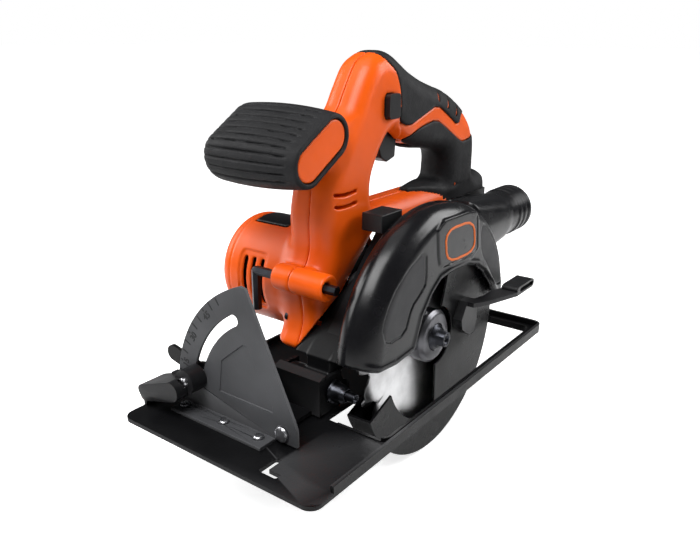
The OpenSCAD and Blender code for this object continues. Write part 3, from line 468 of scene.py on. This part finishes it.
# black overmould on the handle, seen from the side, and the orange band that runs through it
OVERMOULD = softened([(6, 212), (0, 198), (-7, 191), (-12, 181), (-14, 163), (-22, 152), (-24, 140),
                      (-40, 128), (-60, 90), (-140, 80), (-150, 220), (0, 225)])
BAND = softened([(-4, 166), (-12, 163), (-24.7, 156.8), (-44, 163), (-60, 168), (-76, 160), (-90, 151.5),
                 (-95, 160), (-118, 158), (-124, 145), (-106, 140), (-97, 139.5), (-86, 145), (-75, 151),
                 (-60, 158.5), (-38, 155), (-27, 149), (-22, 144), (-20, 139), (-8, 139)], 1)
SKIRT = softened([(-31, -45), (-92, -29), (-145, -29), (-145, -61), (-92, -61)], 1)
NECK = [(28, 168), (57, 166), (79, 153), (78, 144), (60, 145), (44, 138)]
SLITS = ((-66, 176), (-78, 170.5), (-90, 164.5))
VENT_ROWS = (117.5, 124.5)
VENT_SLOTS = (-95, -88, -81)
LOCK_OFF = ((-9.4, 163.6), (3.4, 179.4))
UNDERCUT = 2.2          # thickness of the overmould

f = Field((-152, -119, 26), (84, -18, 208), 0.8)
across = f.y - SEAM_Y
# the pillar swells towards the motor below the front handle
swell = 2.4 * np.clip((175 - f.z) / 60, 0, 1)
whole = either(extruded(outline(f.x, f.z, PILLAR), across + swell, BODY_HALF + swell, 11),
               extruded(outline(f.x, f.z, HANDLE), across, 15.6, 14), 6)
neck = extruded(outline(f.x, f.z, NECK), f.y + 46, 12, 6)
boss = both(np.hypot(f.x - KEY[0], f.z - KEY[1]) - 8, np.abs(f.y + 39.5) - 19.5, 2)
block = both(box3(f, (-148, -64, 78), (22, -31.6, 111), 13), 98 - f.z, 1.5)
barrel = extruded(np.hypot(f.x - MOTOR[0], f.z - MOTOR[1]) - BARREL_R, f.y + 75.2, 43.2, 11)
outer = either(either(either(either(whole, neck, 6), block, 6), barrel, 6), boss, 5)

# the overmould is a skin on the handle; the orange band and the slits are windows in it
black_side = outline(f.x, f.z, OVERMOULD)
slits = np.full(1, 9.0, np.float32)
for x, z in SLITS:
    along, up = 0.87 * (f.x - x) + 0.5 * (f.z - z), 0.87 * (f.z - z) - 0.5 * (f.x - x)
    slits = np.minimum(slits, np.maximum(np.abs(along) - 1.2, np.abs(up + 1) - 6))
window = np.minimum(outline(f.x, f.z, BAND), slits)
trigger_side = box3(f, (-40, -53, 120), (-6, -37, 158), 2)
overmould = less(both(less(whole, whole + UNDERCUT), black_side, 1.2), window, 1.2)
overmould = less(overmould, trigger_side)
post = both(whole, outline(f.x, f.y, SKIRT))
skirt = both(both(block - 2.2, outline(f.x, f.y, SKIRT), 1.5), 98.5 - f.z)
skirt = both(both(either(skirt, post, 5), f.z - 122), 98.5 - f.z)
overmould = either(both(overmould, 110 - f.z), skirt, 0.6)
core = np.minimum(both(outer, 0.3 - black_side),
                  np.minimum(both(both(whole + 0.9, black_side - 0.5), window + 0.25),
                             both(whole + UNDERCUT + 0.2, black_side - 0.5)))
orange = np.where(f.z < 116, less(outer, skirt - 0.2), core)

# openings: gear case, vents, label, hex key, trigger, lock-off button, motor end cap
gear_side = extruded(outline(f.x, f.z, [(-30, 97.5), (12, 97.5), (79, 28), (79, 0), (-30, 0)]), f.y + 16, 20, 0.5)
orange = less(orange, gear_side, 0.5)
# the leg leans away from the black flank of the gear case, which lies below the diagonal
diagonal = (f.z + 1.037 * f.x - 110) / 1.441
lean = 0.30 * (f.x - 1) - 0.751 * (f.y + 31) + 0.588 * (f.z - 88)
orange = less(orange, np.maximum(lean, np.minimum(-1.5 - diagonal, 57 - f.x)), 0.5)
for z in VENT_ROWS:
    for sign in (1, -1):
        bow = f.z - z - 0.010 * (f.x - 40) ** 2 + 0.02 * (f.x - 40)
        vent = np.maximum(np.maximum(np.abs(bow) - 1.0, np.abs(f.x - 40.5) - 10), BODY_HALF - 7 - sign * across)
        orange = less(orange, vent, 0.5)
orange = less(orange, box3(f, (LOCK_OFF[0][0], -62, LOCK_OFF[0][1]), (LOCK_OFF[1][0], -28, LOCK_OFF[1][1]), 3), 0.6)
orange = less(orange, box3(f, (-29, -51, 129), (10, -39, 161.5), 2), 0.5)
from_motor = np.hypot(f.x - MOTOR[0], f.z - MOTOR[1])
pocket = both(box3(f, (50, -99, 48), (90, -77, 84), 4), BARREL_R - 1 - from_motor)
orange = less(orange, pocket, 0.6)
for y in VENT_SLOTS:
    orange = less(orange, box3(f, (46, y - 1.6, 51), (90, y + 1.6, 80), 1.5), 0.4)
orange = less(orange, np.maximum(np.hypot(f.x - HEX[0], f.z - HEX[1]) - 3.4, -f.y - 120), 0.4)
orange = less(orange, np.maximum(from_motor - 26, f.y + 108), 0.5)
orange = less(orange, np.maximum(from_motor - 32, np.abs(f.y + 73.5) - 37.5))
orange = orange + dent(f.y + 107, 0.5, 0.5)
label = both(both(barrel - 0.35, np.abs(f.x - MOTOR[0]) - 12), np.maximum(np.abs(f.y + 90) - 14, 80 - f.z), 2)
orange = less(orange, label - 0.25, 0.3)
orange = orange + dent(across, 0.5, 0.45)

skin("housing_motor_half", f, np.maximum(orange, across + 0.12), "saw_body", ORANGE,
     ["housing_left"])
skin("housing_blade_half", f, np.maximum(orange, 0.12 - across), "saw_body", ORANGE,
     ["housing_right"])
skin("handle_overmould", f, overmould, "saw_body", GRIP, ["handle_grip"])
skin("rating_label", f, both(label, -(barrel + 1.2)), "saw_body", GUARD, ["label_plate"])

# ---- Front handle --------------------------------------------------------------------------------

GRIP_LOW, GRIP_HIGH = (79, 147), (57, 160)   # centres of the oval section's ends
f = Field((36, -101, 126), (100, -24.5, 180), 0.6)
lean = np.array(GRIP_HIGH, np.float32) - GRIP_LOW
length = float(np.hypot(*lean))
lean /= length
along = (f.x - GRIP_LOW[0]) * lean[0] + (f.z - GRIP_LOW[1]) * lean[1]
above = (f.z - GRIP_LOW[1]) * -lean[0] + (f.x - GRIP_LOW[0]) * lean[1]
beyond = along - np.clip(along, 0, length)
section = np.hypot(beyond, above)
swell = 15.6 - 2.2 * ((f.y + 66) / 34) ** 2
grip = both(section - swell, -(f.y + 97 + 0.06 * (f.z - 150)), 10)
grip = both(grip, f.y + 25.4, 1.5)
around = np.where(along < 0, -np.arctan2(-along, above) * 15, along)
ribs = sum(dent(around - a, 0.55, 1.5) for a in np.arange(-36, 34, 5.4))
fade = np.clip((f.y + 96) / 8, 0, 1) * np.clip((-31 - f.y) / 4, 0, 1) * np.clip((above + 6) / 5, 0, 1)
grip = grip + ribs * fade
cap_face = both(section - 9.2, f.y + 26.2, 0.8)
cap_face = both(cap_face, -34 - f.y)
grip = less(grip, both(section - 9.7, -35 - f.y), 0.5)
pillar_face = extruded(outline(f.x, f.z, PILLAR), f.y - SEAM_Y, BODY_HALF, 13)
grip = less(grip, pillar_face - 0.3, 0.4)
skin("front_handle_grip", f, grip, "saw_body", GRIP, ["front_grip", "front_handle_core"])
skin("front_handle_cap", f, less(cap_face, pillar_face - 0.3), "saw_body", ORANGE,
     ["front_grip_cap"])

# ---- Upper guard -----------------------------------------------------------------------------------

GUARD_EDGE = [(100, 46), (90, 42), (72, 35.5), (55, 34), (36, 35.5), (32, 43), (27, 55), (17, 66), (8, 72),
              (-4, 73.5), (-26, 73), (-40, 69), (-51, 62), (-64, 49), (-73, 37), (-95, 37), (-95, 130), (100, 130)]
BADGE_PAD = softened([(16.5, 110.5), (-31, 109.5), (-38, 103), (-42, 77), (6, 79.5), (13, 84)], 1)
BADGE = softened([(7, 103.4), (-29, 102.6), (-33.3, 81.7), (3.5, 82.4)], 2)
FRONT_PANEL = softened([(26.5, 96), (25, 76), (31, 71), (40, 66), (47, 51), (66, 51), (69, 61), (60, 76),
                        (45, 89)], 1)
REAR_PANEL = softened([(-46, 97), (-61, 84), (-73, 70), (-79, 57), (-81, 47), (-72, 47), (-58, 64), (-46, 76),
                       (-43, 92)], 1)
PAD_GROOVE = [(-33.5, 104), (-36.5, 81.5), (-31, 79.8), (5, 80.8)]

f = Field((-90, -12, 31), (90, 18.8, 120), 0.58)
radius = np.hypot(f.x, f.z - ARBOR_Z)
lower_lip = outline(f.x, f.z, GUARD_EDGE)
bend, back_bend = np.clip(11 + 0.09 * f.x, 6, 16), 13
face = np.hypot(np.maximum(radius - GUARD_R + bend, 0), np.maximum(f.y - GUARD_FACE + bend, 0)) - bend
back = np.hypot(np.maximum(radius - GUARD_R + back_bend, 0), np.maximum(-10 - f.y + back_bend, 0)) - back_bend
solid = both(both(face, lower_lip, 2.5), back)
outer_side = f.y > 5
pad = both(both(outline(f.x, f.z, BADGE_PAD), f.y - GUARD_FACE - 0.9, 1.6), radius - GUARD_R + 1.5, 1)
solid = either(solid, both(pad, -f.y), 0.8)
# bead along the lower lip, panels let into the face, groove beside the badge
solid = solid - dent(lower_lip + 3, 1.7, 0.9) * outer_side * np.clip((GUARD_R - 4 - radius) / 4, 0, 1)
for panel in (FRONT_PANEL, REAR_PANEL):
    inset = outline(f.x, f.z, panel)
    solid = solid + (0.5 * np.clip(-inset / 0.6, 0, 1) + dent(inset, 0.45, 0.8)) * outer_side
groove = np.full(1, 99.0, np.float32)
for (ax, az), (bx, bz) in zip(PAD_GROOVE, PAD_GROOVE[1:]):
    ex, ez = bx - ax, bz - az
    t = np.clip(((f.x - ax) * ex + (f.z - az) * ez) / (ex * ex + ez * ez), 0, 1)
    groove = np.minimum(groove, np.hypot(f.x - ax - ex * t, f.z - az - ez * t))
solid = solid + dent(groove, 0.5, 0.9) * outer_side
badge = both(np.maximum(np.abs(outline(f.x, f.z, BADGE)) - 0.8, solid - 0.5),
             np.maximum(-(solid + 1.2), 8 - f.y))
guard = less(solid, np.maximum(face + 2.4, back + 2))
guard = less(guard, np.maximum(np.hypot(f.y - SPOUT[0], f.z - SPOUT[1]) - 13, f.x + 50))
guard = less(guard, np.maximum(radius - 25, f.y + 4))
skin("upper_guard_shell", f, guard, "saw_body", GUARD, ["upper_guard"], PANEL,
     lambda x, y, z: np.maximum(np.minimum(outline(x, z, FRONT_PANEL), outline(x, z, REAR_PANEL)) + 0.4, 5 - y))
skin("badge_outline", f, badge, "saw_body", LINE_ORANGE, ["guard_badge"])

# ---- Flank of the gear case, down to the depth pivot ---------------------------------------------------

DEPTH = (74, 16)        # depth axis in x and z
FLANK_ARM = [(73.5, 34), (73.5, 25), (66, 14), (60, 24), (46, 36), (50, 54)]

f = Field((4, -50, 4), (88, -9.5, 106), 0.62)
diagonal = (f.z + 1.037 * f.x - 110) / 1.441
lean = 0.30 * (f.x - 1) - 0.751 * (f.y + 31) + 0.588 * (f.z - 88)
plate = both(both(diagonal + 0.3, -7 - diagonal, 1), np.maximum(np.maximum(f.x - 73.5, 9 - f.x), 33.5 - f.z))
plate = both(both(plate, np.maximum(lean + 0.35, -47 - f.y), 0.8), f.y + 10.6, 0.8)
inside_housing = np.minimum(f.x - 57.3, np.hypot(f.x - MOTOR[0], f.z - MOTOR[1]) - BARREL_R - 0.4)
plate = less(plate, np.maximum(f.y + 35.7, inside_housing))
arm = extruded(outline(f.x, f.z, FLANK_ARM), f.y + 26.8, 8.6, 1)
hub = both(np.hypot(f.x - DEPTH[0], f.z - DEPTH[1]) - 9.6, np.abs(f.y + 32.5) - 14.4, 1)
flank = less(either(plate, either(arm, hub, 2), 1), np.hypot(f.x - DEPTH[0], f.z - DEPTH[1]) - 3.1)
skin("gear_case_flank", f, flank, "saw_body", CAST, ["pivot_arm"])

# ---- Dust spout --------------------------------------------------------------------------------------

f = Field((-152, -32, 50), (-46, 10, 112), 0.7)
centre = np.hypot(f.y - SPOUT[0], f.z - SPOUT[1])
tube = both(centre - SPOUT_R, np.maximum(f.x + 70, -150 - f.x), 2)
throat = extruded(outline(f.x, f.z, softened([(-56, 106), (-92, 101), (-118, 96), (-118, 70), (-92, 64), (-72, 54)], 1)),
                  f.y + 11, 14, 8)
spout = either(tube, throat, 6)
for x in (-147.5, -139.5, -131.5):
    spout = either(spout, both(centre - SPOUT_R - 1, np.abs(f.x - x) - 2.2, 0.8), 0.6)
spout = less(spout, np.maximum(centre - 14, f.x + 90), 0.6)
spout = less(spout, np.maximum(centre - 10, f.x + 55), 0.6)
spout = less(spout, np.hypot(f.x, f.z - ARBOR_Z) - GUARD_R - 0.15)
skin("dust_spout_moulding", f, spout, "saw_body", GUARD, ["dust_spout"])

# ---- Bevel scale: ticks and figures ---------------------------------------------------------------------

BEVEL = (-14.5, 9.3)    # bevel axis in y and z
SCALE_FACE = (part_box("bevel_quadrant")[0].x - ORIGIN.x) / MM + 2
SCALE_ZERO = 0.5        # elevation of the scale's zero
SCALE_R = 83


def flat_piece(name, corners_list, body, material, thick=0.14):
    """Thin raised marks on a face at right angles to X, each from its corners in y and z."""
    points, faces = [], []
    for corners in corners_list:
        start, n = len(points), len(corners)
        for x in (SCALE_FACE - 0.05, SCALE_FACE + thick):
            points += [place(x, y, z) for y, z in corners]
        faces += [tuple(start + n + i for i in range(n)), tuple(start + i for i in reversed(range(n)))]
        faces += [(start + i, start + (i + 1) % n, start + n + (i + 1) % n, start + n + i) for i in range(n)]
    mesh = bpy.data.meshes.new(name)
    mesh.from_pydata([tuple(p) for p in points], [], faces)
    mesh.materials.append(material)
    piece = bpy.data.objects.new(name, mesh)
    bpy.context.scene.collection.objects.link(piece)
    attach(piece, body)
    return piece


def polar(angle, r, side=0.0):
    """A point of the scale, at that elevation and radius, moved sideways along the arc."""
    a = math.radians(angle)
    return (BEVEL[0] - r * math.cos(a) + side * math.sin(a), BEVEL[1] + r * math.sin(a) + side * math.cos(a))


ticks = []
for step in range(0, 12):
    angle = SCALE_ZERO + 5 * step
    inner = SCALE_R - (2.6 if step % 3 == 0 else 5.6)
    half = 0.42
    ticks.append([polar(angle, inner, -half), polar(angle, inner, half), polar(angle, SCALE_R - 0.8, half),
                  polar(angle, SCALE_R - 0.8, -half)])
flat_piece("scale_ticks", ticks, "shoe", INK)
for value in (15, 30, 45):
    text = bpy.data.curves.new(f"figure_{value}", "FONT")
    text.body = str(value)
    text.size, text.extrude, text.align_x = 5.8 * MM, 0.1 * MM, "CENTER"
    text.offset = 0.12 * MM
    draft = bpy.data.objects.new(f"figure_{value}_draft", text)
    bpy.context.scene.collection.objects.link(draft)
    mesh = bpy.data.meshes.new_from_object(draft.evaluated_get(bpy.context.evaluated_depsgraph_get()))
    bpy.data.objects.remove(draft)
    a = math.radians(SCALE_ZERO + value)
    y, z = polar(SCALE_ZERO + value, SCALE_R - 7.4)
    across_text, up_text = Vector((0, math.sin(a), math.cos(a))), Vector((0, -math.cos(a), math.sin(a)))
    turn = Matrix((across_text, up_text, Vector((1, 0, 0)))).transposed().to_4x4()
    mesh.transform(Matrix.Translation(place(SCALE_FACE + 0.05, y, z)) @ turn)
    mesh.materials.clear()
    mesh.materials.append(INK)
    piece = bpy.data.objects.new(f"scale_{value}", mesh)
    bpy.context.scene.collection.objects.link(piece)
    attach(piece, "shoe")

# ---- Studio ------------------------------------------------------------------------------------------

floor_mesh = bpy.data.meshes.new("floor")
reach, ground = 14, min(cad_low.z, shoe_low.z) - 0.0005
floor_mesh.from_pydata([(-reach, -reach, ground), (reach, -reach, ground), (reach, reach, ground), (-reach, reach, ground)],
                       [], [(0, 1, 2, 3)])
floor = bpy.data.objects.new("floor", floor_mesh)
bpy.context.scene.collection.objects.link(floor)
pale = Surface("studio_floor", (0.9, 0.9, 0.9), 0.7)
pale.tint(0.8, 0.985, 1.0)
pale.patchy_gloss(0.5, 0.05)
pale.shader.inputs["Emission Color"].default_value = (1, 1, 1, 1)
# the glow that keeps the floor pale is for the camera only, so it doesn't light the saw from below
glow = pale.node("ShaderNodeMath", operation="MULTIPLY")
glow.inputs[1].default_value = 0.75
pale.link(pale.node("ShaderNodeLightPath").outputs["Is Camera Ray"], glow.inputs[0])
pale.link(glow.outputs[0], pale.shader.inputs["Emission Strength"])
floor_mesh.materials.append(pale.material)

scene = bpy.context.scene
scene.view_settings.view_transform = "Standard"
world = bpy.data.worlds.new("studio")
scene.world = world
world.use_nodes = True
shown = world.node_tree.nodes["Background"]
shown.inputs["Color"].default_value, shown.inputs["Strength"].default_value = (1, 1, 1, 1), 1.0
fill = world.node_tree.nodes.new("ShaderNodeBackground")
fill.inputs["Color"].default_value, fill.inputs["Strength"].default_value = (0.96, 0.98, 1, 1), 0.07
chooser = world.node_tree.nodes.new("ShaderNodeMixShader")
world.node_tree.links.new(world.node_tree.nodes.new("ShaderNodeLightPath").outputs["Is Camera Ray"], chooser.inputs[0])
world.node_tree.links.new(fill.outputs[0], chooser.inputs[1])
world.node_tree.links.new(shown.outputs[0], chooser.inputs[2])
world.node_tree.links.new(chooser.outputs[0], world.node_tree.nodes["World Output"].inputs[0])


def area_light(name, at, towards, size, power):
    """Soft box at a point of the frame, in metres, facing another."""
    data = bpy.data.lights.new(name, "AREA")
    data.shape, data.size, data.size_y, data.energy = "RECTANGLE", *size, power
    light = bpy.data.objects.new(name, data)
    bpy.context.scene.collection.objects.link(light)
    light.location = at
    light.rotation_mode = "QUATERNION"
    light.rotation_quaternion = (Vector(towards) - Vector(at)).to_track_quat("-Z", "Y")


area_light("key", (0.55, 0.1, 0.95), (0, 0, 0.08), (0.6, 0.6), 11)
area_light("rim", (-0.6, 0.5, 0.55), (0, 0, 0.1), (0.5, 0.5), 6)
area_light("left", (0.3, -0.9, 0.5), (0, 0, 0.08), (0.6, 0.6), 6)
sun = bpy.data.lights.new("sky", "SUN")
sun.energy, sun.angle = 0.8, math.radians(60)
sun_object = bpy.data.objects.new("sky", sun)
bpy.context.scene.collection.objects.link(sun_object)
sun_object.rotation_euler = (math.radians(15), math.radians(10), 0)

camera_data = bpy.data.cameras.new("camera")
camera_data.lens, camera_data.sensor_width = 36.08, 36
camera_data.clip_start, camera_data.clip_end = 0.01, 60
camera = bpy.data.objects.new("camera", camera_data)
bpy.context.scene.collection.objects.link(camera)
CAMERA_RIGHT, CAMERA_UP, CAMERA_BACK = (-0.5981, 0.8014, 0.0041), (-0.2642, -0.2020, 0.9431), (0.7566, 0.5629, 0.3326)
camera.matrix_world = Matrix.Translation((0.34597, 0.24858, 0.21331)) @ Matrix(
    (CAMERA_RIGHT, CAMERA_UP, CAMERA_BACK)).transposed().to_4x4()
scene.camera = camera
